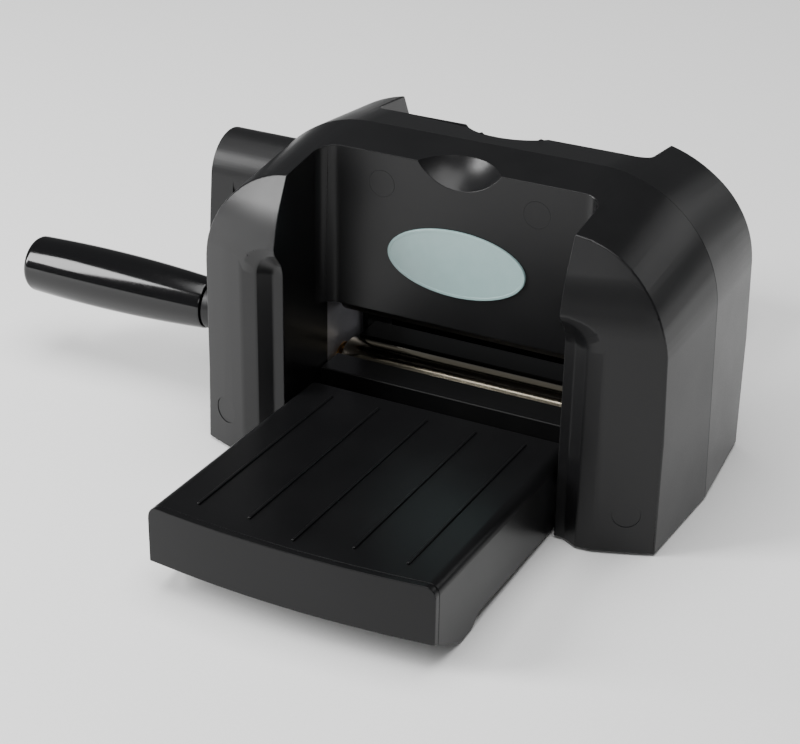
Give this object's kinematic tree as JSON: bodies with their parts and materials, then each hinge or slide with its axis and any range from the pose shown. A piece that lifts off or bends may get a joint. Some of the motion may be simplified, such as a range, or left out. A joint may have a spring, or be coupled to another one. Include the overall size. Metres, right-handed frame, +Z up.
{
  "type": "die cutting machine",
  "caption": "Tabletop die cutting machine: rounded black case around a roller pair, a side crank with a barrel grip, and feed trays that fold up at front and back.",
  "frame": {"origin": "on the table under the middle of the rollers: centre of the case's footprint, at the height of the feet", "axes": "+X along the rollers, away from the crank; +Y from the badge side to the back; +Z up"},
  "size_m": [0.3153, 0.3242, 0.1335],
  "materials": {
    "case_abs": "moulded ABS, fine satin grain",
    "tray_abs": "moulded ABS, smoother satin",
    "inner_abs": "moulded ABS, matt",
    "crank_abs": "glass-filled nylon, satin",
    "gloss_grip": "polished ABS",
    "frame_steel": "zinc-plated sheet steel",
    "zinc_fasteners": "zinc plate",
    "roller_chrome": "ground and chromed",
    "roller_oxide": "ground and black-oxided",
    "gear_nylon": "moulded nylon",
    "bush_bronze": "sintered bronze",
    "foot_rubber": "moulded rubber",
    "badge_plate": "satin printed plate, plain"
  },
  "bodies": {
    "frame": {"front_shell": "case_abs", "rear_shell": "case_abs", "base_cover": "inner_abs", "rubber_feet": "foot_rubber", "foot_screws": "zinc_fasteners", "left_side_plate": "frame_steel", "right_side_plate": "frame_steel", "upper_tie_rods": "frame_steel", "lower_tie_bars": "frame_steel", "tie_screws": "zinc_fasteners", "front_bed": "inner_abs", "rear_bed": "inner_abs", "roller_bushes": "bush_bronze", "crank_bushes": "bush_bronze", "gearbox_plate": "frame_steel", "gearbox_spacers": "frame_steel", "gearbox_screws": "zinc_fasteners", "front_hinge_rod": "frame_steel", "rear_hinge_rod": "frame_steel", "hinge_clips": "zinc_fasteners", "badge": "badge_plate", "shell_screws": "zinc_fasteners", "screw_plugs": "inner_abs", "base_screws": "zinc_fasteners"},
    "crank": {"crank_arm": "crank_abs", "crank_shaft": "frame_steel", "crank_pinion": "frame_steel", "arm_screw": "zinc_fasteners", "hub_cap": "crank_abs", "grip_bolt": "zinc_fasteners"},
    "grip": {"grip": "gloss_grip", "grip_cap": "gloss_grip"},
    "upper_roller": {"upper_roller": "roller_oxide", "upper_roller_clips": "zinc_fasteners", "drive_gear": "gear_nylon", "upper_sync_gear": "gear_nylon"},
    "lower_roller": {"lower_roller": "roller_chrome", "lower_roller_clips": "zinc_fasteners", "lower_sync_gear": "gear_nylon"},
    "front_tray": {"front_tray_deck": "tray_abs", "front_tray_cover": "tray_abs"},
    "rear_tray": {"rear_tray_deck": "tray_abs", "rear_tray_cover": "tray_abs"}
  },
  "joints": [
    {"name": "crank_turn", "type": "hinge", "parent": "frame", "child": "crank", "pos_m": [-0.1, 0, 0.102], "axis": [1, 0, 0], "continuous": true},
    {"name": "grip_spin", "type": "hinge", "parent": "crank", "child": "grip", "pos_m": [-0.1675, -0.00832, 0.03965], "axis": [1, 0, 0], "continuous": true},
    {"name": "upper_roller_spin", "type": "hinge", "parent": "frame", "child": "upper_roller", "pos_m": [0, 0, 0.0595], "axis": [1, 0, 0], "continuous": true},
    {"name": "lower_roller_spin", "type": "hinge", "parent": "frame", "child": "lower_roller", "pos_m": [0, 0, 0.0245], "axis": [1, 0, 0], "continuous": true},
    {"name": "front_tray_fold", "type": "hinge", "parent": "frame", "child": "front_tray", "pos_m": [0, -0.04425, 0.01525], "axis": [1, 0, 0], "range_deg": [-87.7, 0]},
    {"name": "rear_tray_fold", "type": "hinge", "parent": "frame", "child": "rear_tray", "pos_m": [0, 0.04425, 0.01525], "axis": [1, 0, 0], "range_deg": [0, 87.7]}
  ],
  "couplings": [
    {"joint": "upper_roller_spin", "follows": "crank_turn", "ratio": -0.25926},
    {"joint": "lower_roller_spin", "follows": "crank_turn", "ratio": 0.25926}
  ]
}
